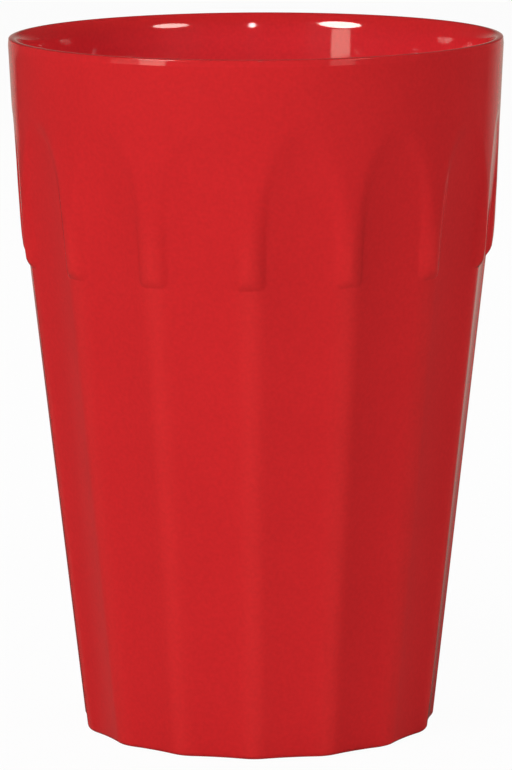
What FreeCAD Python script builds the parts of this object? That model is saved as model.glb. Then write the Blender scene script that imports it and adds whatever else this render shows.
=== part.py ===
"""Fluted plastic tumbler, moulded in one piece.

The cup stands on its foot ring. The origin is the centre of the foot ring, on
the plane that the cup rests on, and +Z runs up the axis. Rib number 0 points
to -Y. All sizes are in millimetres and all angles are in degrees.

From the bottom up the cup has a fluted body, whose outline is the same at
every height and grows with the taper; short ribs, which carry the ridges on
upwards and end in round feet; arched flute tops between the ribs; a plain
band; and a round lip. The inside is a smooth cone. Cups of this kind stack:
the body of one slips inside the lip of the next until the rib feet land on it,
so the body's width below the ribs is worked out from the lip.
"""
import FreeCAD, Part
import math
import os

Vector = FreeCAD.Vector
origin = Vector(0, 0, 0)
upwards = Vector(0, 0, 1)

# Driving dimensions: overall form
height = 106.4
rim_radius = 37.6
base_radius = 27.12
flute_count = 15

# Driving dimensions: fluted body, as it measures at the height of the rib feet
rib_foot_height = 72.3
flute_depth = 0.95
ridge_round = 7.0
base_edge_round = 0.8

# Driving dimensions: ribs
rib_width = 3.6
rib_stand = 0.9
rib_foot_round = 1.2
rib_corner_round = 1.3
rib_belly_rise = 4.7

# Driving dimensions: arched flute tops
arch_top_height = 94.7
arch_rise = 10.0
arch_wall_draft = 25.0

# Driving dimensions: plain band and lip
waist_height = 94.0
waist_lead = 3.0
band_taper = 0.53
lip_round = 0.7
lip_outer_depth = 1.1
lip_lean = 4.5
lip_lean_height = 0.9
lip_thickness = 2.15
lip_inner_depth = 2.4
nesting_clearance = 0.2

# Driving dimensions: wall, floor and underside
wall = 2.1
floor_thickness = 2.2
inner_corner_round = 5.0
recess_depth = 1.2
recess_radius = 21.5
recess_draft_width = 1.0
gate_mark_radius = 2.0
gate_mark_height = 0.3

# How far a cutting tool runs past the surface that it opens
overrun = 1.0
# Where a cubic curve's inner points stand, as a share of the way, so that it follows a quarter ellipse
quarter_bend = 0.5523

# Worked out from the driving dimensions
half_pitch = math.pi / flute_count
shoulder_radius = rim_radius - lip_thickness - nesting_clearance
body_flare = (shoulder_radius - base_radius) / rib_foot_height
waist_radius = rim_radius - band_taper
rib_foot_radius = shoulder_radius + rib_stand
floor_height = recess_depth + floor_thickness
inner_top_height = height - lip_inner_depth
inner_top_radius = rim_radius - lip_thickness


def ridge_radius(z):
    """Radius of the ridge lines at height z."""
    return base_radius + body_flare * z


def flute_radius(z):
    """Radius of the flutes' centre lines at height z."""
    return ridge_radius(z) * (1 - flute_depth / shoulder_radius)


def inner_radius(z):
    """Radius of the inner wall at height z, on a straight line from the floor plane to the lip."""
    start = flute_radius(0) - wall
    return start + (inner_top_radius - start) * z / inner_top_height


def polar(radius, angle, z):
    """Point at a radius, an angle from -Y in radians and a height."""
    return Vector(radius * math.sin(angle), -radius * math.cos(angle), z)


def in_section(point):
    """Point of the half section, given as (radius, height)."""
    return Vector(point[0], 0, point[1])


def straight(start, end):
    """Straight edge of the half section, between two (radius, height) pairs."""
    return Part.makeLine(in_section(start), in_section(end))


def cubic(*points):
    """Cubic curve through the first and last of four points, led by the two between."""
    curve = Part.BezierCurve()
    curve.setPoles(list(points))
    return curve.toShape()


def turned(edges):
    """Solid turned about the axis from a closed chain of edges in the half section."""
    face = Part.Face(Part.Wire(edges))
    return face.revolve(origin, upwards, 360)


def turned_polygon(*points):
    """Solid turned about the axis from the corners of its half section."""
    ends = points[1:] + points[:1]
    return turned([straight(start, end) for start, end in zip(points, ends)])


def fluted_outline(z):
    """Outline of the body at height z: round ridges and shallow hollow flutes, tangent to each other.

    A ridge arc is centred inside the body and a flute arc outside it. The flute's radius follows
    from the two arcs touching, and their joint lies on the line between the two centres.
    """
    scale = ridge_radius(z) / shoulder_radius
    ridge = ridge_radius(z)
    flute = flute_radius(z)
    rounding = ridge_round * scale
    centre = ridge - rounding
    lean = math.cos(half_pitch)
    hollow = rounding ** 2 - centre ** 2 - flute ** 2 + 2 * centre * flute * lean
    hollow = hollow / (2 * (flute - centre * lean - rounding))
    share = rounding / (rounding + hollow)
    across = (flute + hollow) * math.sin(half_pitch) * share
    along = centre + ((flute + hollow) * lean - centre) * share
    joint_radius = math.hypot(across, along)
    joint_angle = math.atan2(across, along)
    edges = []
    for number in range(flute_count):
        ridge_angle = 2 * half_pitch * number
        start = polar(joint_radius, ridge_angle - joint_angle, z)
        middle = polar(joint_radius, ridge_angle + joint_angle, z)
        end = polar(joint_radius, ridge_angle + 2 * half_pitch - joint_angle, z)
        edges.append(Part.Arc(start, polar(ridge, ridge_angle, z), middle).toShape())
        edges.append(Part.Arc(middle, polar(flute, ridge_angle + half_pitch, z), end).toShape())
    return Part.Wire(edges)


def fluted_body(bottom, top):
    """Solid of the fluted body between two heights."""
    return Part.makeLoft([fluted_outline(bottom), fluted_outline(top)], True, True)


def rib_face_edges():
    """Half section of a rib: its foot, rounded from below, and its bulging face up to the waist.

    Returns the edges from the bottom up, and the point under the foot where they start.
    """
    band_flare = band_taper / (height - lip_outer_depth - waist_height)
    belly = (waist_radius, rib_foot_height + rib_belly_rise)
    waist = (waist_radius, waist_height)
    below_waist = (waist_radius - waist_lead * band_flare, waist_height - waist_lead)
    foot_lean = math.atan2(belly[0] - rib_foot_radius, rib_belly_rise)
    foot_turn = math.pi / 2 - foot_lean
    under_foot = (rib_foot_radius - rib_foot_round * math.sin(foot_turn), rib_foot_height)
    arc_centre = (under_foot[0], rib_foot_height + rib_foot_round)

    def on_foot(turn):
        radius = arc_centre[0] + rib_foot_round * math.sin(turn)
        return Vector(radius, 0, arc_centre[1] - rib_foot_round * math.cos(turn))

    foot = Part.Arc(on_foot(0), on_foot(foot_turn / 2), on_foot(foot_turn)).toShape()
    face = cubic(on_foot(foot_turn), in_section(belly), in_section(below_waist), in_section(waist))
    return [foot, face], under_foot


def lip_edges():
    """Half section of the lip: outside a leaning straight and a quarter ellipse, inside another."""
    lean = math.tan(math.radians(lip_lean))
    outer_side = (rim_radius, height - lip_outer_depth)
    lean_top = (rim_radius - lean * lip_lean_height, outer_side[1] + lip_lean_height)
    crest = (rim_radius - lip_round, height)
    outer_rise = quarter_bend * (height - lean_top[1])
    outer_lead = (lean_top[0] - lean * outer_rise, lean_top[1] + outer_rise)
    outer_over = (crest[0] + quarter_bend * (lean_top[0] - crest[0]), height)
    inner_over = (crest[0] - quarter_bend * (crest[0] - inner_top_radius), height)
    lead_height = inner_top_height + quarter_bend * lip_inner_depth
    inner_lead = (inner_radius(lead_height), lead_height)
    outside = [lean_top, outer_lead, outer_over, crest]
    inside = [crest, inner_over, inner_lead, (inner_top_radius, inner_top_height)]
    curves = [cubic(*[in_section(point) for point in curve]) for curve in (outside, inside)]
    return [straight(outer_side, lean_top)] + curves


def collar():
    """Ribs, band and lip as one turned ring, before the flute tops are cut into it."""
    rib_face, under_foot = rib_face_edges()
    waist = (waist_radius, waist_height)
    lip_outside = (rim_radius, height - lip_outer_depth)
    inner_top = (inner_top_radius, inner_top_height)
    inner_foot = (inner_radius(rib_foot_height), rib_foot_height)
    edges = [straight(inner_foot, under_foot)]
    edges.extend(rib_face)
    edges.append(straight(waist, lip_outside))
    edges.extend(lip_edges())
    edges.append(straight(inner_top, inner_foot))
    return turned(edges)


def arch_side(side, distance):
    """Edges of one side of a flute top's outline, from the bottom up, at a distance before the axis.

    The bottom flares out round the corner of a rib foot, the side runs beside the rib, and the top
    is a quarter ellipse. The walls' draft widens the outline with the distance, and it has its
    stated size where it meets the ribs' faces.
    """
    spread = math.tan(math.radians(arch_wall_draft))
    beside_rib = math.cos(half_pitch)
    half_foot = rib_foot_radius * math.sin(half_pitch) - rib_width / 2
    half_foot += spread * (distance - rib_foot_radius * beside_rib)
    half_spring = waist_radius * math.sin(half_pitch) - rib_width / 2
    half_spring += spread * (distance - waist_radius * beside_rib)
    spring_height = arch_top_height - arch_rise
    rise = arch_rise + spread * (distance - waist_radius)
    corner_start = (half_foot + rib_corner_round, rib_foot_height)
    corner_end = (half_foot, rib_foot_height + rib_corner_round)
    corner_stop = rib_corner_round * (1 - quarter_bend)

    def point(x, z):
        return Vector(side * x, -distance, z)

    return [
        Part.makeLine(point(corner_start[0], rib_foot_height - overrun), point(*corner_start)),
        cubic(
            point(*corner_start),
            point(half_foot + corner_stop, rib_foot_height),
            point(half_foot, rib_foot_height + corner_stop),
            point(*corner_end),
        ),
        Part.makeLine(point(*corner_end), point(half_spring, spring_height)),
        cubic(
            point(half_spring, spring_height),
            point(half_spring, spring_height + quarter_bend * rise),
            point(quarter_bend * half_spring, spring_height + rise),
            point(0, spring_height + rise),
        ),
    ]


def arch_outline(distance):
    """Closed outline of one flute top, in the plane at a distance in front of the axis."""
    left = arch_side(-1, distance)
    right = arch_side(1, distance)
    bottom = Part.makeLine(left[0].Vertexes[0].Point, right[0].Vertexes[0].Point)
    return Part.Wire(Part.sortEdges(left + right + [bottom])[0])


def flute_tops():
    """Arched cutters, one for each flute, that clear the collar down to the body's own flutes."""
    outside = arch_outline(rim_radius + overrun)
    inside = arch_outline(flute_radius(rib_foot_height) - overrun)
    cutter = Part.makeLoft([outside, inside], True, True)
    cutter.rotate(origin, upwards, math.degrees(half_pitch))
    body = fluted_body(rib_foot_height - 2 * overrun, arch_top_height + 2 * overrun)
    cutter = cutter.cut(body)
    turns = [math.degrees(2 * half_pitch * number) for number in range(flute_count)]
    return [cutter.rotated(origin, upwards, turn) for turn in turns]


def edges_at(shape, z):
    """Edges of a shape that lie flat at height z."""
    flat = [edge for edge in shape.Edges if edge.BoundBox.ZLength < 1e-6]
    return [edge for edge in flat if abs(edge.BoundBox.ZMin - z) < 1e-6]


def hollow():
    """Solid of the space inside the lower body, with its round corner at the floor."""
    top = rib_foot_height + overrun
    floor_corner = (inner_radius(floor_height), floor_height)
    space = turned_polygon((0, floor_height), floor_corner, (inner_radius(top), top), (0, top))
    return space.makeFillet(inner_corner_round, edges_at(space, floor_height))


def underside_recess():
    """Solid of the shallow recess inside the foot ring, with a low gate mark left at its middle."""
    mouth_radius = recess_radius + recess_draft_width
    gate_height = recess_depth - gate_mark_height
    return turned_polygon(
        (0, -overrun),
        (mouth_radius, -overrun),
        (mouth_radius, 0),
        (recess_radius, recess_depth),
        (gate_mark_radius, recess_depth),
        (gate_mark_radius, gate_height),
        (0, gate_height),
    )


def lower_body():
    """Fluted body from the foot ring to the rib feet, hollow and recessed."""
    body = fluted_body(0, rib_foot_height)
    body = body.makeFillet(base_edge_round, edges_at(body, 0))
    return body.cut(hollow()).cut(underside_recess())


def cup():
    """The whole cup as one solid."""
    ribbed_collar = collar().cut(flute_tops())
    whole = lower_body().fuse(ribbed_collar).removeSplitter()
    return whole.Solids[0]


os.makedirs("parts", exist_ok=True)
solid = cup()
solid.exportStep("parts/cup.step")
print("cup: valid", solid.isValid(), "faces", len(solid.Faces), "volume", round(solid.Volume), "mm3")
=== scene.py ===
"""Looks of the fluted plastic tumbler: its fine outer form, its red plastic, and the studio round it.

The cup is one moulding, so one piece is built here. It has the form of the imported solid, with the
soft edges that the ribs, the arched flute tops, the lip and the foot have on the real cup.
"""
import logging
import math
from dataclasses import dataclass
from enum import Enum

import bpy
import numpy as np
from mathutils import Matrix, Vector


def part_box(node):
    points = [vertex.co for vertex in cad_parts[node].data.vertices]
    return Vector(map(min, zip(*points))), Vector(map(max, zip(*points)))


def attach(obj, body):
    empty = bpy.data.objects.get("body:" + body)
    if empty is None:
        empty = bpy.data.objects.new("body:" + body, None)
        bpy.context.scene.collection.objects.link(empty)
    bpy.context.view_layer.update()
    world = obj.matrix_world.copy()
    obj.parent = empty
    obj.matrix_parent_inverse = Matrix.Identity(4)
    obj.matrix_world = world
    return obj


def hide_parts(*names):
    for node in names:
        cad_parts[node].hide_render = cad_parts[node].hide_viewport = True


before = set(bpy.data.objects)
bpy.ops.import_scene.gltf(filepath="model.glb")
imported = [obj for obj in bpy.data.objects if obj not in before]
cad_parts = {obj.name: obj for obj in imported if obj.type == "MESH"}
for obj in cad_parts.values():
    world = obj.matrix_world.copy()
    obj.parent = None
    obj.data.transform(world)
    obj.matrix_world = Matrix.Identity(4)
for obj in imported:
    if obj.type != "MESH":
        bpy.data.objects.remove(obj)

log = logging.getLogger("tumbler")

MILLIMETRE = 0.001
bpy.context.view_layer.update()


def smooth_step(t: np.ndarray) -> np.ndarray:
    """Rise from 0 to 1 as t does, level at both ends: three t squared less two t cubed.

    Args:
        t: any numbers; those below 0 give 0 and those above 1 give 1.

    Returns:
        The eased numbers.
    """
    t = np.clip(t, 0.0, 1.0)
    return t * t * (3.0 - 2.0 * t)


def cubic_curve(poles: np.ndarray, count: int) -> np.ndarray:
    """Points on a cubic curve: the four poles weighted by (1-t)^3, 3t(1-t)^2, 3t^2(1-t) and t^3.

    Args:
        poles: four rows of (radius, height).
        count: how many points to return, both ends included.

    Returns:
        Rows of (radius, height).
    """
    t = np.linspace(0.0, 1.0, count)[:, None]
    rest = 1.0 - t
    weights = np.hstack([rest ** 3, 3 * t * rest ** 2, 3 * t ** 2 * rest, t ** 3])
    return weights @ np.asarray(poles, float)


def arc(centre: tuple[float, float], radius: float, start: float, end: float, count: int) -> np.ndarray:
    """Points on a circle's arc: the centre plus the radius times (cosine, sine) of the angle.

    Args:
        centre: (radius, height) of the centre.
        radius: the arc's radius.
        start: first angle in degrees, from the outward direction towards +Z.
        end: last angle in degrees.
        count: how many points to return, both ends included.

    Returns:
        Rows of (radius, height).
    """
    angle = np.radians(np.linspace(start, end, count))
    return np.stack([centre[0] + radius * np.cos(angle), centre[1] + radius * np.sin(angle)], 1)


@dataclass(frozen=True)
class FlutedBody:
    """The fluted body below the ribs. Its outline is the same at each height and grows with the taper.

    Sizes are in millimetres, and the outline's own sizes are those at the height of the rib feet.
    """

    base_radius: float
    shoulder_radius: float
    rib_foot_height: float
    flute_count: int
    flute_depth: float = 0.95
    ridge_round: float = 7.0

    @property
    def half_pitch(self) -> float:
        """Half the angle from one ridge to the next, in radians."""
        return math.pi / self.flute_count

    def ridge_radius(self, z: np.ndarray) -> np.ndarray:
        """Radius of the ridge lines at height z."""
        return self.base_radius + (self.shoulder_radius - self.base_radius) * z / self.rib_foot_height

    def from_ridge(self, angle: np.ndarray) -> np.ndarray:
        """Signed angle from the nearest ridge."""
        pitch = 2 * self.half_pitch
        return (angle + self.half_pitch) % pitch - self.half_pitch

    def outline(self, angle: np.ndarray) -> np.ndarray:
        """Outline at the height of the rib feet, as a radius for each angle.

        A ridge is a circle centred inside the body: c cos a + sqrt(r^2 - c^2 sin^2 a). A flute is a
        circle centred outside it: d cos b - sqrt(h^2 - d^2 sin^2 b), with b measured from the flute's
        middle. The flute's radius h makes the two touch.

        Args:
            angle: angles from -Y in radians.

        Returns:
            Radii in millimetres.
        """
        half = self.half_pitch
        flute = self.shoulder_radius - self.flute_depth
        centre = self.shoulder_radius - self.ridge_round
        lean = math.cos(half)
        hollow = self.ridge_round ** 2 - centre ** 2 - flute ** 2 + 2 * centre * flute * lean
        hollow /= 2 * (flute - centre * lean - self.ridge_round)
        outer = flute + hollow
        share = self.ridge_round / (self.ridge_round + hollow)
        joint = math.atan2(outer * math.sin(half) * share, centre + (outer * lean - centre) * share)
        off_ridge = np.abs(self.from_ridge(angle))
        off_flute = half - off_ridge
        inside = np.clip(self.ridge_round ** 2 - (centre * np.sin(off_ridge)) ** 2, 0.0, None)
        outside = np.clip(hollow ** 2 - (outer * np.sin(off_flute)) ** 2, 0.0, None)
        ridge = centre * np.cos(off_ridge) + np.sqrt(inside)
        hollow_side = outer * np.cos(off_flute) - np.sqrt(outside)
        return np.where(off_ridge < joint, ridge, hollow_side)

    def radius(self, angle: np.ndarray, z: np.ndarray) -> np.ndarray:
        """Radius of the body for each angle and height."""
        return self.outline(angle) * self.ridge_radius(z) / self.shoulder_radius


@dataclass(frozen=True)
class Collar:
    """Ribs, arched flute tops and plain band above the fluted body.

    Sizes are in millimetres. Those from crown_width on soften the edges, as moulding and use do:
    the ribs are crowned over crown_width from a root that spreads by root_spread, and an arch's
    edge is soft_width wide at its spring and arch_soft_width at its top. The one turns into the
    other over soft_turn of height, which starts soft_turn_lead below the spring.
    """

    height: float
    rim_radius: float
    body: FlutedBody
    rib_width: float = 3.6
    rib_stand: float = 0.9
    rib_foot_round: float = 1.2
    rib_corner_round: float = 1.3
    rib_belly_rise: float = 4.7
    arch_top_height: float = 94.7
    arch_rise: float = 10.0
    waist_height: float = 94.0
    waist_lead: float = 3.0
    band_taper: float = 0.53
    lip_round: float = 0.7
    lip_outer_depth: float = 1.1
    lip_lean: float = 4.5
    lip_lean_height: float = 0.9
    crown_width: float = 2.6
    crown_power: float = 1.5
    root_spread: float = 0.6
    soft_width: float = 2.4
    arch_soft_width: float = 3.4
    soft_turn: float = 8.0
    soft_turn_lead: float = 6.0
    foot_points: int = 24
    face_points: int = 80

    def face_curve(self) -> np.ndarray:
        """Half section of the ribs' faces and the band, from under the foot up to the lip's side."""
        foot_radius = self.body.shoulder_radius + self.rib_stand
        waist_radius = self.rim_radius - self.band_taper
        foot = self.body.rib_foot_height
        top = self.height - self.lip_outer_depth
        flare = self.band_taper / (top - self.waist_height)
        turn = 90.0 - math.degrees(math.atan2(waist_radius - foot_radius, self.rib_belly_rise))
        reach = self.rib_foot_round * math.sin(math.radians(turn))
        centre = (foot_radius - reach, foot + self.rib_foot_round)
        rounding = arc(centre, self.rib_foot_round, -90.0, turn - 90.0, self.foot_points)
        poles = [
            tuple(rounding[-1]),
            (waist_radius, foot + self.rib_belly_rise),
            (waist_radius - self.waist_lead * flare, self.waist_height - self.waist_lead),
            (waist_radius, self.waist_height),
        ]
        face = cubic_curve(poles, self.face_points)
        return np.vstack([rounding, face[1:], [(self.rim_radius, top)]])

    def face_radius(self, z: np.ndarray) -> np.ndarray:
        """Radius of the ribs' faces and the band at height z."""
        curve = self.face_curve()
        return np.interp(z, curve[:, 1], curve[:, 0])

    def distance_into_rib(self, angle: np.ndarray, z: np.ndarray) -> np.ndarray:
        """How far a point lies inside the edge of the ribs and the band, along the surface.

        Beside a flute the edge is |x| = a, and over it the ellipse (x/a)^2 + (y/b)^2 = 1, whose
        distance is its implicit value over the length of its gradient. Each rib ends at its foot in
        two corners of radius c: the distance is c - |(c - side, c - rise)|, both parts kept positive.

        Args:
            angle: angles from -Y in radians.
            z: heights in millimetres.

        Returns:
            Distances in millimetres, below 0 inside a flute or under a foot.
        """
        half = self.body.half_pitch
        face = self.face_radius(z)
        across = face * np.sin(half - np.abs(self.body.from_ridge(angle)))
        spring = self.arch_top_height - self.arch_rise
        reach = face * math.sin(half) - self.rib_width / 2
        rise = np.clip(z - spring, 0.0, None)
        level = np.sqrt((across / reach) ** 2 + (rise / self.arch_rise) ** 2)
        slope = np.sqrt((across / reach ** 2) ** 2 + (rise / self.arch_rise ** 2) ** 2)
        side = (level - 1.0) * np.maximum(level, 1e-6) / np.maximum(slope, 1e-6)
        corner = self.rib_corner_round
        past_side = corner - side
        past_foot = corner - (z - self.body.rib_foot_height)
        outside = np.hypot(np.maximum(past_side, 0.0), np.maximum(past_foot, 0.0))
        return corner - outside - np.minimum(np.maximum(past_side, past_foot), 0.0)

    def share_of_face(self, angle: np.ndarray, z: np.ndarray) -> np.ndarray:
        """How far the surface has risen from the flute to the rib's face, from 0 to 1.

        Down at the feet a rib is crowned: with t the distance over the crown's width, its share
        is 1 - (1 - t)^1.5, which starts steeply at the root. Towards the arch the edge turns into
        a smooth step of t, which grows wider up to the arch's top.

        Args:
            angle: angles from -Y in radians.
            z: heights in millimetres.

        Returns:
            Shares from 0 in a flute to 1 on the ribs' faces and the band.
        """
        distance = self.distance_into_rib(angle, z)
        from_root = np.clip((distance + self.root_spread) / self.crown_width, 0.0, 1.0)
        crowned = 1.0 - (1.0 - from_root) ** self.crown_power
        spring = self.arch_top_height - self.arch_rise
        up_arch = smooth_step((z - spring) / self.arch_rise)
        width = self.soft_width + (self.arch_soft_width - self.soft_width) * up_arch
        soft = smooth_step(distance / width + 0.5)
        turned_soft = smooth_step((z - spring + self.soft_turn_lead) / self.soft_turn)
        return crowned + (soft - crowned) * turned_soft

    def radius(self, angle: np.ndarray, z: np.ndarray) -> np.ndarray:
        """Outer radius above the base's edge: the body, raised to the ribs' faces inside their edge.

        Args:
            angle: angles from -Y in radians.
            z: heights in millimetres.

        Returns:
            Radii in millimetres.
        """
        floor = self.body.radius(angle, z)
        rise = self.face_radius(z) - floor
        belly = self.body.rib_foot_height + self.rib_belly_rise
        rise = np.where(z < belly, np.maximum(rise, 0.0), rise)
        return floor + self.share_of_face(angle, z) * rise


@dataclass(frozen=True)
class CupForm:
    """The whole moulding as one closed surface: a half section carried round the axis.

    Sizes are in millimetres. The section runs from the middle of the underside out to the foot
    ring, up the outside, over the lip, down the inside wall and in to the middle of the floor.
    """

    collar: Collar
    lip_thickness: float
    base_edge_round: float = 0.8
    lip_inner_depth: float = 2.4
    wall: float = 2.1
    floor_thickness: float = 2.2
    inner_corner_round: float = 5.0
    recess_depth: float = 1.2
    recess_radius: float = 21.5
    recess_draft_width: float = 1.0
    gate_mark_radius: float = 2.0
    gate_mark_height: float = 0.3
    # Where a cubic curve's inner points stand so that it follows a quarter ellipse
    quarter_bend: float = 0.5523

    # Soft edges: the lip's lower corner, and the underside's corners with the points between
    bevel_rise: float = 0.15
    bevel_share: float = 0.2
    recess_edge_round: float = 0.35
    recess_corner: tuple[float, float] = (0.1, 0.3)
    mouth_corner: tuple[float, float] = (-0.2, 0.05)
    corner_drop: float = 0.1
    gate_edge_round: float = 0.15
    gate_draft_width: float = 0.1

    # Half width of a ridge's painted highlight, and the depth below the lip at which the inside's
    # painted light is full
    ridge_highlight_width: float = 1.6
    inside_light_depth: float = 4.0

    # Rows and columns of the grid, and where they stand closer together. The wall's leads are depths
    # under the lip's inner curve, the floor's rings shares of its flat radius, the others radii.
    columns_a_pitch: int = 42
    edge_crowding: float = 1.6
    edge_crowding_angle: float = 0.018
    crowding_samples: int = 2001
    foot_rows_from: float = -0.8
    foot_rows_to: float = 1.6
    arch_rows_from: float = 2.0
    arch_rows_to: float = 1.0
    outer_rows: tuple[int, ...] = (12, 21, 11, 36, 7)
    base_edge_rows: int = 8
    bevel_rows: tuple[float, ...] = (0.0, 0.5, 0.97)
    outer_lip_rows: int = 12
    inner_lip_rows: int = 24
    wall_leads: tuple[float, ...] = (0.15, 1.6)
    wall_rows: int = 6
    corner_rows: int = 9
    floor_rings: tuple[float, ...] = (0.75, 0.5, 0.25)
    recess_rings: tuple[float, ...] = (9.0, 16.0)
    middle_ring: float = 0.8

    def angles(self) -> np.ndarray:
        """Angles round the cup, closer together at the ribs' edges.

        One pitch is divided by the running sum of a density, which is 1 plus a bell curve at each
        edge of the rib, and the pitch is then repeated.

        Returns:
            Angles from -Y in radians, over one full turn.
        """
        body = self.collar.body
        pitch = 2 * body.half_pitch
        edge = self.collar.rib_width / 2 / self.collar.rim_radius
        dense = np.linspace(-pitch / 2, pitch / 2, self.crowding_samples)
        from_edge = (np.abs(dense) - edge) / self.edge_crowding_angle
        density = 1.0 + self.edge_crowding * np.exp(-from_edge ** 2)
        running = np.concatenate([[0.0], np.cumsum((density[1:] + density[:-1]) / 2)])
        wanted = np.linspace(0.0, running[-1], self.columns_a_pitch + 1)[:-1]
        local = np.interp(wanted, running, dense)
        starts = pitch * np.arange(body.flute_count)
        return (starts[:, None] + local[None, :]).ravel()

    def outer_heights(self) -> np.ndarray:
        """Heights of the rows up the outside, closer together at the rib feet and the arches."""
        foot = self.collar.body.rib_foot_height
        spring = self.collar.arch_top_height - self.collar.arch_rise
        under_foot = foot + self.foot_rows_from
        over_foot = foot + self.foot_rows_to
        in_arch = spring + self.arch_rows_from
        over_arch = self.collar.arch_top_height + self.arch_rows_to
        lip = self.collar.height - self.collar.lip_outer_depth
        body_rows, foot_rows, rib_rows, arch_rows, band_rows = self.outer_rows
        stretches = [
            np.linspace(self.base_edge_round, under_foot, body_rows)[1:-1],
            np.linspace(under_foot, over_foot, foot_rows),
            np.linspace(over_foot, in_arch, rib_rows)[1:-1],
            np.linspace(in_arch, over_arch, arch_rows),
            np.linspace(over_arch, lip, band_rows)[1:],
        ]
        return np.concatenate(stretches)

    def underside(self) -> np.ndarray:
        """Half section of the underside, from beside the axis out to the foot ring."""
        low = self.recess_depth - self.gate_mark_height
        soft = self.recess_edge_round
        depth = self.recess_depth
        mouth = self.recess_radius + self.recess_draft_width
        gate_mark = [
            (self.middle_ring, low),
            (self.gate_mark_radius - self.gate_edge_round, low),
            (self.gate_mark_radius, low + self.gate_edge_round),
            (self.gate_mark_radius + self.gate_draft_width, depth),
        ]
        recess = [(radius, depth) for radius in self.recess_rings]
        recess_edge = [
            (self.recess_radius - soft, depth),
            (self.recess_radius + self.recess_corner[0], depth - self.corner_drop),
            (self.recess_radius + self.recess_corner[1], depth - soft),
        ]
        mouth_edge = [
            (mouth + self.mouth_corner[0], soft),
            (mouth + self.mouth_corner[1], self.corner_drop),
            (mouth + soft, 0.0),
        ]
        return np.array(gate_mark + recess + recess_edge + mouth_edge)

    def inner_radius(self, z: np.ndarray) -> np.ndarray:
        """Radius of the inner wall, on a straight line from the floor plane to the lip."""
        body = self.collar.body
        start = body.base_radius * (1 - body.flute_depth / body.shoulder_radius) - self.wall
        end = self.collar.rim_radius - self.lip_thickness
        return start + (end - start) * z / (self.collar.height - self.lip_inner_depth)

    def lip(self) -> np.ndarray:
        """Half section of the lip, from its outer side over the crest to the top of the inner wall.

        The outer side leans in by a few degrees, and its lower corner is bevelled. A cubic curve
        close to a quarter ellipse leads to the crest, and another one from there to the wall.

        Returns:
            Rows of (radius, height).
        """
        height = self.collar.height
        rim = self.collar.rim_radius
        crest = rim - self.collar.lip_round
        wall_top = height - self.lip_inner_depth
        inner = float(self.inner_radius(wall_top))
        lead = wall_top + self.quarter_bend * self.lip_inner_depth
        side = height - self.collar.lip_outer_depth
        lean = math.tan(math.radians(self.collar.lip_lean))
        top = side + self.collar.lip_lean_height
        top_radius = rim - lean * self.collar.lip_lean_height
        rise = self.quarter_bend * (height - top)
        up_side = (top_radius - lean * rise, top + rise)
        near_crest = (crest + self.quarter_bend * (top_radius - crest), height)
        bevel_in = self.bevel_share * lean * self.collar.lip_lean_height
        bevel_start = (rim - bevel_in, side + self.bevel_rise)
        along = np.array(self.bevel_rows)[:, None]
        bevel = np.array([bevel_start]) * (1.0 - along) + np.array([(top_radius, top)]) * along
        outer_poles = [(top_radius, top), up_side, near_crest, (crest, height)]
        over = (crest - self.quarter_bend * (crest - inner), height)
        above = (float(self.inner_radius(lead)), lead)
        inner_poles = [(crest, height), over, above, (inner, wall_top)]
        outer_curve = cubic_curve(outer_poles, self.outer_lip_rows)
        inner_curve = cubic_curve(inner_poles, self.inner_lip_rows)
        return np.vstack([bevel, outer_curve, inner_curve[1:]])

    def inside(self) -> np.ndarray:
        """Half section down the inner wall, round its foot and in across the floor."""
        wall_top = self.collar.height - self.lip_inner_depth
        floor = self.recess_depth + self.floor_thickness
        corner_top = floor + self.inner_corner_round
        near_lip = wall_top - np.array(self.wall_leads)
        down = np.concatenate([near_lip, np.linspace(wall_top, corner_top, self.wall_rows)[1:]])
        wall = np.stack([self.inner_radius(down), down], 1)
        rounding = self.inner_corner_round
        middle = float(self.inner_radius(corner_top)) - rounding
        corner = arc((middle, corner_top), rounding, 0.0, -90.0, self.corner_rows)[1:]
        disc = np.array([(middle * share, floor) for share in self.floor_rings])
        return np.vstack([wall, corner, disc])

    def ridge_highlight_shares(self, row_heights: np.ndarray, first_row: int, last_row: int) -> np.ndarray:
        """How near each point of the grid is to a ridge or a rib's middle, from 0 to 1.

        On the outside it is a bell curve of the distance from the ridge line, exp(-(d / w)^2),
        faded out up the arches. It is 0 on the underside, the band, the lip and the inside. It masks
        the painted highlight that makes the ridges paler.

        Args:
            row_heights: height of each row of the grid.
            first_row: first row of the outside.
            last_row: row after the outside's last one.

        Returns:
            One number for each point, row by row.
        """
        body = self.collar.body
        angle = self.angles()
        z = row_heights[:, None]
        distance = body.from_ridge(angle)[None, :] * body.ridge_radius(z)
        near = np.exp(-(distance / self.ridge_highlight_width) ** 2)
        top = self.collar.arch_top_height
        near = near * (1.0 - smooth_step((z - top + 2 * self.collar.arch_rise) / self.collar.arch_rise))
        rows = np.arange(len(row_heights))
        outside = (rows >= first_row) & (rows < last_row)
        return np.where(outside[:, None], near, 0.0).ravel()

    def depths(self, row_heights: np.ndarray, last_row: int) -> np.ndarray:
        """How deep inside the cup each point of the grid is, from 0 at the lip to 1.

        Args:
            row_heights: height of each row of the grid.
            last_row: row after the outside's last one.

        Returns:
            One number for each point, row by row, and 0 on the outside. It masks the painted light
            that makes the deep inside brighter.
        """
        # Share of the painted light that brightens the deep inside
        deep = smooth_step((self.collar.height - row_heights) / self.inside_light_depth)
        deep = np.where(np.arange(len(row_heights)) < last_row, 0.0, deep)
        return np.repeat(deep, len(self.angles()))

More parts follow.
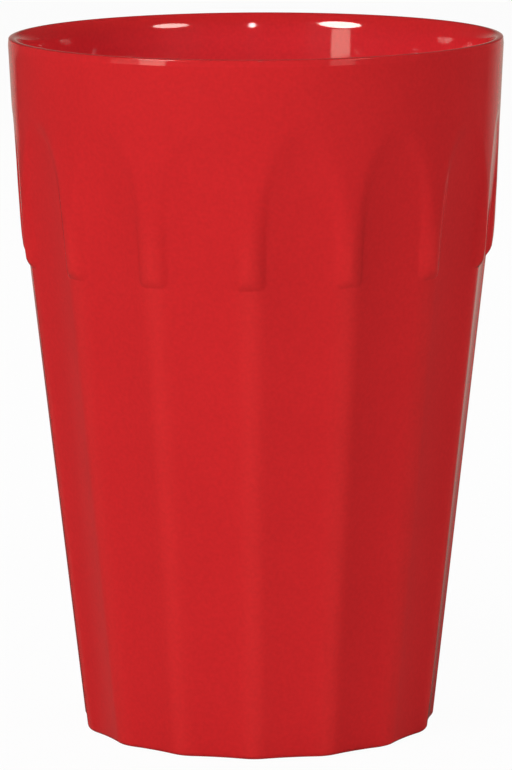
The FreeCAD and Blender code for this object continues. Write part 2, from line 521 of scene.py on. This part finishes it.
    def grid(self) -> np.ndarray:
        """Points of the closed surface but its two poles, as an array of rows, columns and (x, y, z).

        Turned rows have one radius all round. In the base's round edge a row is the body's outline
        moved in by r - sqrt(r^2 - (r - z)^2), and above it the collar gives the radius.

        Returns:
            Coordinates in millimetres.
        """
        angle = self.angles()
        under = self.underside()
        inside = np.vstack([self.lip(), self.inside()])
        turn = np.radians(np.linspace(0.0, 90.0, self.base_edge_rows))
        edge_z = self.base_edge_round * (1 - np.cos(turn))
        edge_in = self.base_edge_round * (1 - np.sin(turn))
        outer_z = self.outer_heights()
        body = self.collar.body
        edge = body.radius(angle[None, :], edge_z[:, None]) - edge_in[:, None]
        outer = self.collar.radius(angle[None, :], outer_z[:, None])
        flat = np.ones_like(angle)[None, :]
        radius = np.vstack([under[:, :1] * flat, edge, outer, inside[:, :1] * flat])
        z = np.concatenate([under[:, 1], edge_z, outer_z, inside[:, 1]])
        heights = np.broadcast_to(z[:, None], radius.shape)
        return np.stack([radius * np.sin(angle), -radius * np.cos(angle), heights], 2)

    @staticmethod
    def faces(rows: int, columns: int) -> list[list[int]]:
        """Faces of a closed grid: quads between the rows, and a fan of triangles at each pole.

        Args:
            rows: how many rows the grid has. The two poles' points follow its own.
            columns: how many points each row has.

        Returns:
            The corners of each face, counted so that it points outwards.
        """
        here = np.arange(columns)
        after = (here + 1) % columns
        low = columns * np.arange(rows - 1)[:, None]
        quads = np.stack([low + here, low + after, low + columns + after, low + columns + here], 2)
        bottom, top = rows * columns, rows * columns + 1
        last = (rows - 1) * columns
        first_fan = np.stack([np.full(columns, bottom), after, here], 1)
        last_fan = np.stack([np.full(columns, top), last + here, last + after], 1)
        return quads.reshape(-1, 4).tolist() + first_fan.tolist() + last_fan.tolist()

    def mesh(self, name: str) -> bpy.types.Mesh:
        """Closed mesh of the moulding, in metres, with every face pointing outwards.

        Args:
            name: the mesh's name.

        Returns:
            A smooth mesh with the float attributes "crest" and "depth" on its points, which mask the
            painted highlight on the ridges and the painted light deep inside.
        """
        points = self.grid()
        rows, columns = points.shape[:2]
        poles = np.array([[0.0, 0.0, points[0, 0, 2]], [0.0, 0.0, points[-1, 0, 2]]])
        vertices = np.vstack([points.reshape(-1, 3), poles]) * MILLIMETRE
        mesh = bpy.data.meshes.new(name)
        mesh.from_pydata(vertices.tolist(), [], self.faces(rows, columns))
        mesh.polygons.foreach_set("use_smooth", np.ones(len(mesh.polygons), bool))
        first_row = len(self.underside())
        last_row = rows - len(self.lip()) - len(self.inside())
        row_heights = points[:, 0, 2]
        # Masks of the painted light: a paler highlight on the ridges and a brighter deep inside
        crest = np.concatenate([self.ridge_highlight_shares(row_heights, first_row, last_row), [0.0, 0.0]])
        depth = np.concatenate([self.depths(row_heights, last_row), [0.0, 1.0]])
        for layer_name, values in (("crest", crest), ("depth", depth)):
            layer = mesh.attributes.new(layer_name, "FLOAT", "POINT")
            layer.data.foreach_set("value", values.astype(np.float32))
        mesh.update()
        return mesh


@dataclass(frozen=True)
class RedPlastic:
    """Glossy opaque plastic, coloured red right through, with the unevenness of a used moulding.

    The colour clouds a little over some centimetres and a fine grain breaks it up. The ridges are
    painted paler, a painted highlight for the light they catch. Deep inside, the colour is painted
    brighter, painted light for the light that comes through the wall.
    """

    colour: tuple[float, float, float] = (0.62, 0.0195, 0.0222)
    # Painted highlight: the paler colour of the ridges and the ribs' middles
    ridge_highlight_colour: tuple[float, float, float] = (0.66, 0.024, 0.0255)
    # Painted light: the brighter colour deep inside the cup
    inside: tuple[float, float, float] = (0.765, 0.0275, 0.036)
    roughness: float = 0.06
    specular_level: float = 0.4
    cloud: float = 0.02
    cloud_scale: float = 70.0
    cloud_detail: float = 3.0
    grain: float = 0.045
    grain_scale: float = 1800.0
    grain_detail: float = 1.0
    noise_range: tuple[float, float] = (0.25, 0.75)
    roughness_spread: float = 0.3
    wave_scale: float = 90.0
    wave_detail: float = 1.0
    wave_height: float = 0.0001
    wave_strength: float = 0.3

    def noise(self, tree: bpy.types.NodeTree, scale: float, detail: float) -> bpy.types.NodeSocket:
        """Adds a noise on Object coordinates.

        Args:
            tree: the material's node tree.
            scale: how many features there are to the metre.
            detail: how many finer layers it has.

        Returns:
            The socket that holds the noise, from 0 to 1.
        """
        place = tree.nodes.new("ShaderNodeTexCoord")
        noise = tree.nodes.new("ShaderNodeTexNoise")
        noise.inputs["Scale"].default_value = scale
        noise.inputs["Detail"].default_value = detail
        tree.links.new(place.outputs["Object"], noise.inputs["Vector"])
        return noise.outputs["Fac"]

    def blend(
        self,
        tree: bpy.types.NodeTree,
        attribute: str,
        colour: tuple[float, float, float],
        base: bpy.types.NodeSocket | None = None,
    ) -> bpy.types.NodeSocket:
        """Blends to a colour by one of the mesh's attributes.

        Args:
            tree: the material's node tree.
            attribute: the attribute's name. 0 leaves the base and 1 gives the colour.
            colour: the colour to blend to.
            base: the socket that holds the base. Without it the plastic's own colour is the base.

        Returns:
            The socket that holds the blend.
        """
        share = tree.nodes.new("ShaderNodeAttribute")
        share.attribute_name = attribute
        mix = tree.nodes.new("ShaderNodeMix")
        mix.data_type = "RGBA"
        tree.links.new(share.outputs["Fac"], mix.inputs["Factor"])
        mix.inputs["A"].default_value = (*self.colour, 1.0)
        mix.inputs["B"].default_value = (*colour, 1.0)
        if base is not None:
            tree.links.new(base, mix.inputs["A"])
        return mix.outputs["Result"]

    def shade(
        self,
        tree: bpy.types.NodeTree,
        colour: bpy.types.NodeSocket,
        noise: bpy.types.NodeSocket,
        share: float,
    ) -> bpy.types.NodeSocket:
        """Multiplies a colour by a number that runs from 1 - share to 1 + share with a noise.

        Args:
            tree: the material's node tree.
            colour: the socket that holds the colour.
            noise: the socket that holds the noise.
            share: how far the colour goes up and down.

        Returns:
            The socket that holds the new colour.
        """
        level = tree.nodes.new("ShaderNodeMapRange")
        level.inputs["From Min"].default_value = self.noise_range[0]
        level.inputs["From Max"].default_value = self.noise_range[1]
        level.inputs["To Min"].default_value = 1.0 - share
        level.inputs["To Max"].default_value = 1.0 + share
        tree.links.new(noise, level.inputs["Value"])
        product = tree.nodes.new("ShaderNodeVectorMath")
        product.operation = "SCALE"
        tree.links.new(colour, product.inputs[0])
        tree.links.new(level.outputs["Result"], product.inputs["Scale"])
        return product.outputs[0]

    def material(self, name: str) -> bpy.types.Material:
        """Builds the material.

        Args:
            name: the material's name.

        Returns:
            A node material that reads Object coordinates and the mesh's two attributes.
        """
        material = bpy.data.materials.new(name)
        material.use_nodes = True
        tree = material.node_tree
        shader = tree.nodes["Principled BSDF"]
        shader.inputs["Specular IOR Level"].default_value = self.specular_level
        # Painted light: the ridges are painted paler and the deep inside brighter
        outside = self.blend(tree, "crest", self.ridge_highlight_colour)
        whole = self.blend(tree, "depth", self.inside, outside)
        cloud = self.noise(tree, self.cloud_scale, self.cloud_detail)
        clouded = self.shade(tree, whole, cloud, self.cloud)
        grain = self.noise(tree, self.grain_scale, self.grain_detail)
        grained = self.shade(tree, clouded, grain, self.grain)
        tree.links.new(grained, shader.inputs["Base Color"])
        rough = tree.nodes.new("ShaderNodeMapRange")
        rough.inputs["To Min"].default_value = self.roughness * (1.0 - self.roughness_spread)
        rough.inputs["To Max"].default_value = self.roughness * (1.0 + self.roughness_spread)
        tree.links.new(cloud, rough.inputs["Value"])
        tree.links.new(rough.outputs["Result"], shader.inputs["Roughness"])
        bump = tree.nodes.new("ShaderNodeBump")
        bump.inputs["Distance"].default_value = self.wave_height
        bump.inputs["Strength"].default_value = self.wave_strength
        wave = self.noise(tree, self.wave_scale, self.wave_detail)
        tree.links.new(wave, bump.inputs["Height"])
        tree.links.new(bump.outputs["Normal"], shader.inputs["Normal"])
        return material


@dataclass
class Tumbler:
    """The cup: one moulding in one plastic."""

    form: CupForm
    finish: RedPlastic

    def build(self) -> bpy.types.Object:
        """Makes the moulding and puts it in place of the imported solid."""
        mesh = self.form.mesh("tumbler")
        mesh.materials.append(self.finish.material("red_plastic"))
        piece = bpy.data.objects.new("tumbler", mesh)
        bpy.context.scene.collection.objects.link(piece)
        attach(piece, "root")
        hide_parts("cup")
        log.info("tumbler: %d vertices, %d faces", len(mesh.vertices), len(mesh.polygons))
        return piece


@dataclass(frozen=True)
class Viewpoint:
    """Camera that sees the cup as the photo does.

    Distances are in millimetres and angles in degrees, and clip is in metres.
    """

    azimuth: float = 1.645
    elevation: float = 9.545
    distance: float = 765.5
    focal_share: float = 6.474
    target_x: float = -0.2
    target_z: float = 52.52
    centre_z: float = 53.21
    roll: float = -0.243
    sensor: float = 36.0
    clip: tuple[float, float] = (0.05, 50.0)

    def build(self) -> None:
        """Adds the camera. focal_share is the focal length over the picture's height."""
        data = bpy.data.cameras.new("photo_camera")
        data.sensor_fit = "VERTICAL"
        data.sensor_height = self.sensor
        data.lens = self.sensor * self.focal_share
        data.clip_start, data.clip_end = self.clip
        camera = bpy.data.objects.new("photo_camera", data)
        bpy.context.scene.collection.objects.link(camera)
        azimuth = math.radians(self.azimuth)
        elevation = math.radians(self.elevation)
        level = self.distance * math.cos(elevation)
        rise = self.distance * math.sin(elevation)
        place = Vector((level * math.sin(azimuth), -level * math.cos(azimuth), self.centre_z + rise))
        sideways = Vector((math.cos(azimuth), math.sin(azimuth), 0.0))
        target = sideways * self.target_x + Vector((0.0, 0.0, self.target_z))
        turn = (target - place).to_track_quat("-Z", "Y").to_matrix().to_4x4()
        roll = Matrix.Rotation(math.radians(self.roll), 4, "Z")
        camera.matrix_world = Matrix.Translation(place * MILLIMETRE) @ turn @ roll
        bpy.context.scene.camera = camera
        log.info("photo camera placed")


def direction(azimuth: float, elevation: float) -> Vector:
    """Unit vector towards an azimuth, from -Y towards +X, and an elevation, both in degrees."""
    level = math.cos(math.radians(elevation))
    turn = math.radians(azimuth)
    return Vector((math.sin(turn) * level, -math.cos(turn) * level, math.sin(math.radians(elevation))))


class LampUse(Enum):
    """What a lamp is for."""

    GLINT = "shows in the gloss only"
    FILL = "lights the cup and does not show in its gloss"


@dataclass(frozen=True)
class SoftBox:
    """A rectangular or round lamp that faces the cup's middle.

    Angles are in degrees and sizes in metres.
    """

    name: str
    azimuth: float
    elevation: float
    distance: float
    width: float
    height: float
    radiance: float
    use: LampUse
    is_round: bool = False
    colour: tuple[float, float, float] = (1.0, 1.0, 1.0)
    target_height: float = 0.053

    def build(self) -> None:
        """Adds the lamp, as strong as its stated radiance over its area."""
        data = bpy.data.lights.new(self.name, "AREA")
        data.shape = "ELLIPSE" if self.is_round else "RECTANGLE"
        data.size = self.width
        data.size_y = self.height
        box_area = self.width * self.height
        area = box_area * math.pi / 4 if self.is_round else box_area
        data.energy = self.radiance * math.pi * area
        data.color = self.colour
        lamp = bpy.data.objects.new(self.name, data)
        bpy.context.scene.collection.objects.link(lamp)
        away = direction(self.azimuth, self.elevation)
        target = Vector((0.0, 0.0, self.target_height))
        place = target + away * self.distance
        turn = (target - place).to_track_quat("-Z", "Y").to_matrix().to_4x4()
        lamp.matrix_world = Matrix.Translation(place) @ turn
        lamp.visible_camera = False
        lamp.visible_diffuse = self.use is not LampUse.GLINT
        lamp.visible_glossy = self.use is not LampUse.FILL
        log.info("lamp %s: %s", self.name, self.use.value)


@dataclass(frozen=True)
class Studio:
    """White table and backdrop, and the soft light round the cup.

    The eye sees white all round. The gloss sees a dim room, a faint sheen low on the left, and
    the pale table behind the cup, whose lower left end lies outside a slanting edge. Angles are
    in degrees and sizes in metres. table_edge and table_middle are measured from straight
    behind, and the table's other angles are elevations.
    """

    ambient: float = 0.29
    dim_room: float = 0.05
    table: float = 0.38
    table_colour: tuple[float, float, float] = (1.0, 0.95, 0.82)
    table_edge: float = 45.0
    table_middle: float = 5.0
    table_top: float = 14.0
    table_full: float = 0.0
    table_near: float = -8.0
    table_end: float = -16.0
    slant: tuple[float, float, float] = (1.0, 0.0, 4.0)
    slant_edge: tuple[float, float] = (-1.05, -0.92)
    sheen: float = 0.055
    sheen_side: tuple[float, float] = (-136.0, -26.0)
    sheen_width: tuple[float, float] = (17.0, 3.0)
    floor_size: float = 6.0
    floor_drop: float = 0.00005
    floor_colour: float = 0.75
    floor_white: float = 0.96

    def ramp(
        self,
        tree: bpy.types.NodeTree,
        value: bpy.types.NodeSocket,
        start: float,
        end: float,
    ) -> bpy.types.NodeSocket:
        """Adds a smooth step of a value.

        Args:
            tree: the world's node tree.
            value: the socket that holds the value.
            start: where the step is 0.
            end: where the step is 1.

        Returns:
            The socket that holds the step.
        """
        step = tree.nodes.new("ShaderNodeMapRange")
        step.interpolation_type = "SMOOTHSTEP"
        step.inputs["From Min"].default_value = start
        step.inputs["From Max"].default_value = end
        tree.links.new(value, step.inputs["Value"])
        return step.outputs["Result"]

    def dot(
        self,
        tree: bpy.types.NodeTree,
        towards: Vector | tuple[float, float, float],
    ) -> bpy.types.NodeSocket:
        """Adds the dot product of the ray's direction and a vector.

        Args:
            tree: the world's node tree.
            towards: the vector.

        Returns:
            The socket that holds the product.
        """
        place = tree.nodes.new("ShaderNodeTexCoord")
        product = tree.nodes.new("ShaderNodeVectorMath")
        product.operation = "DOT_PRODUCT"
        product.inputs[1].default_value = towards
        tree.links.new(place.outputs["Generated"], product.inputs[0])
        return product.outputs["Value"]

    def scaled(
        self,
        tree: bpy.types.NodeTree,
        value: bpy.types.NodeSocket,
        factor: float,
    ) -> bpy.types.Node:
        """Adds a value times a factor plus a number.

        Args:
            tree: the world's node tree.
            value: the socket that holds the value.
            factor: what the value is multiplied by.

        Returns:
            The node, whose third input takes the number to add.
        """
        node = tree.nodes.new("ShaderNodeMath")
        node.operation = "MULTIPLY_ADD"
        node.inputs[1].default_value = factor
        tree.links.new(value, node.inputs[0])
        return node

    def table_behind(self, tree: bpy.types.NodeTree) -> bpy.types.NodeSocket:
        """Brightness of the room as the gloss sees it: dim but for the pale table behind the cup.

        Straight behind is +Y. Four smooth steps are multiplied: one of the Y part of the
        direction, from the table's edge to its middle; two of the Z part, which let it fade out
        above and below; and one across its slanting edge, of X + 4 Z. A faint round sheen low on
        the left is added.

        Args:
            tree: the world's node tree.

        Returns:
            The socket that holds the brightness.
        """
        parts = tree.nodes.new("ShaderNodeSeparateXYZ")
        place = tree.nodes.new("ShaderNodeTexCoord")
        tree.links.new(place.outputs["Generated"], parts.inputs[0])
        edge, middle = (
            math.cos(math.radians(angle)) for angle in (self.table_edge, self.table_middle)
        )
        top, full, near, end = (
            math.sin(math.radians(angle))
            for angle in (self.table_top, self.table_full, self.table_near, self.table_end)
        )
        product = self.ramp(tree, parts.outputs["Y"], edge, middle)
        others = [
            self.ramp(tree, parts.outputs["Z"], top, full),
            self.ramp(tree, parts.outputs["Z"], end, near),
            self.ramp(tree, self.dot(tree, self.slant), *self.slant_edge),
        ]
        for step in others:
            both = tree.nodes.new("ShaderNodeMath")
            both.operation = "MULTIPLY"
            tree.links.new(product, both.inputs[0])
            tree.links.new(step, both.inputs[1])
            product = both.outputs[0]
        level = self.scaled(tree, product, self.table)
        level.inputs[2].default_value = self.dim_room
        wide, narrow = (math.cos(math.radians(angle)) for angle in self.sheen_width)
        side = self.dot(tree, direction(*self.sheen_side))
        total = self.scaled(tree, self.ramp(tree, side, wide, narrow), self.sheen)
        tree.links.new(level.outputs[0], total.inputs[2])
        return total.outputs[0]

    def world(self) -> None:
        """White for the eye and through glass, the dim room for the gloss, and a plain grey light."""
        world = bpy.data.worlds.new("studio")
        bpy.context.scene.world = world
        world.use_nodes = True
        tree = world.node_tree
        plain = tree.nodes["Background"]
        plain.inputs["Color"].default_value = (self.ambient, self.ambient, self.ambient, 1.0)
        white = tree.nodes.new("ShaderNodeBackground")
        white.inputs["Color"].default_value = (1.0, 1.0, 1.0, 1.0)
        room = tree.nodes.new("ShaderNodeBackground")
        room.inputs["Color"].default_value = (*self.table_colour, 1.0)
        tree.links.new(self.table_behind(tree), room.inputs["Strength"])
        path = tree.nodes.new("ShaderNodeLightPath")
        seen = tree.nodes.new("ShaderNodeMath")
        seen.operation = "MAXIMUM"
        tree.links.new(path.outputs["Is Camera Ray"], seen.inputs[0])
        tree.links.new(path.outputs["Is Transmission Ray"], seen.inputs[1])
        for_gloss = tree.nodes.new("ShaderNodeMixShader")
        tree.links.new(path.outputs["Is Glossy Ray"], for_gloss.inputs[0])
        tree.links.new(plain.outputs[0], for_gloss.inputs[1])
        tree.links.new(room.outputs[0], for_gloss.inputs[2])
        for_eye = tree.nodes.new("ShaderNodeMixShader")
        tree.links.new(seen.outputs[0], for_eye.inputs[0])
        tree.links.new(for_gloss.outputs[0], for_eye.inputs[1])
        tree.links.new(white.outputs[0], for_eye.inputs[2])
        tree.links.new(for_eye.outputs[0], tree.nodes["World Output"].inputs["Surface"])

    def floor_material(self) -> bpy.types.Material:
        """Pale matt table, which the eye sees as nearly white with the cup's shadow on it."""
        material = bpy.data.materials.new("pale_floor")
        material.use_nodes = True
        tree = material.node_tree
        shader = tree.nodes["Principled BSDF"]
        colour = (self.floor_colour, self.floor_colour, self.floor_colour, 1.0)
        shader.inputs["Base Color"].default_value = colour
        shader.inputs["Roughness"].default_value = 1.0
        white = tree.nodes.new("ShaderNodeEmission")
        path = tree.nodes.new("ShaderNodeLightPath")
        share = tree.nodes.new("ShaderNodeMath")
        share.operation = "MULTIPLY"
        share.inputs[1].default_value = self.floor_white
        tree.links.new(path.outputs["Is Camera Ray"], share.inputs[0])
        mix = tree.nodes.new("ShaderNodeMixShader")
        tree.links.new(share.outputs[0], mix.inputs[0])
        tree.links.new(shader.outputs[0], mix.inputs[1])
        tree.links.new(white.outputs[0], mix.inputs[2])
        tree.links.new(mix.outputs[0], tree.nodes["Material Output"].inputs["Surface"])
        return material

    def floor(self) -> None:
        """A wide pale floor just under the cup, which the cup's gloss does not show."""
        half = self.floor_size / 2
        z = -self.floor_drop
        corners = [(-half, -half, z), (half, -half, z), (half, half, z), (-half, half, z)]
        mesh = bpy.data.meshes.new("floor")
        mesh.from_pydata(corners, [], [(0, 1, 2, 3)])
        mesh.materials.append(self.floor_material())
        floor = bpy.data.objects.new("floor", mesh)
        bpy.context.scene.collection.objects.link(floor)
        floor.visible_glossy = False

    def build(self) -> None:
        """Builds the world and the floor."""
        bpy.context.scene.view_settings.view_transform = "Standard"
        self.world()
        self.floor()
        log.info("studio built")


def cup_form() -> CupForm:
    """Works the cup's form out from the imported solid's box and the maker's sizes."""
    low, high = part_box("cup")
    rim_radius = (high.x - low.x) / 2 / MILLIMETRE
    height = (high.z - low.z) / MILLIMETRE
    lip_thickness = 2.15
    nesting_clearance = 0.2
    body = FlutedBody(
        base_radius=27.12,
        shoulder_radius=rim_radius - lip_thickness - nesting_clearance,
        rib_foot_height=72.3,
        flute_count=15,
    )
    collar = Collar(height=height, rim_radius=rim_radius, body=body)
    return CupForm(collar=collar, lip_thickness=lip_thickness)


def studio_lamps() -> list[SoftBox]:
    """Lamps round the cup: soft fills for its colour, and those whose shapes show in its gloss.

    Each has its azimuth, elevation, distance, width, height and radiance, in that order. A glint
    stands where the lip, the rim's inner edge or the back wall mirrors it to the camera.
    """
    fill = LampUse.FILL
    glint = LampUse.GLINT
    pale = (1.0, 0.93, 0.85)
    warm = (1.0, 0.8, 0.66)
    return [
        SoftBox("key", -36.0, 20.0, 0.7, 0.3, 0.3, 6.9, fill),
        SoftBox("top", -45.0, 60.0, 0.9, 0.4, 0.4, 2.8, fill),
        SoftBox("fill", 42.0, 15.0, 0.8, 0.3, 0.3, 4.4, fill),
        SoftBox("back_left", -135.0, 15.0, 0.8, 0.3, 0.3, 6.6, fill),
        SoftBox("back_right", 135.0, 15.0, 0.8, 0.3, 0.3, 7.8, fill),
        SoftBox("key_glint", -44.0, 25.0, 0.7, 0.27, 0.27, 32.0, glint, is_round=True, colour=pale),
        SoftBox("key_low_glint", -43.3, 10.3, 0.7, 0.125, 0.032, 6.0, glint, colour=warm),
        SoftBox("key_lip_glint", -45.4, 6.8, 0.7, 0.15, 0.032, 5.0, glint, colour=warm),
        SoftBox("key_lip_tail", -59.0, 6.8, 0.7, 0.18, 0.032, 1.1, glint, colour=warm),
        SoftBox("fill_glint", 47.5, 23.0, 0.8, 0.26, 0.2, 17.0, glint, is_round=True, colour=pale),
        SoftBox("fill_lip_glint", 40.5, 6.8, 0.7, 0.14, 0.03, 1.4, glint, colour=warm),
        SoftBox("small_glint", 3.4, 21.0, 0.7, 0.04, 0.2, 30.0, glint, is_round=True),
    ]


def main() -> None:
    """Builds the cup, the studio, the lamps and the camera."""
    logging.basicConfig(level=logging.INFO, format="%(name)s: %(message)s")
    Tumbler(cup_form(), RedPlastic()).build()
    Studio().build()
    for lamp in studio_lamps():
        lamp.build()
    Viewpoint().build()


if __name__ == "__main__":
    main()
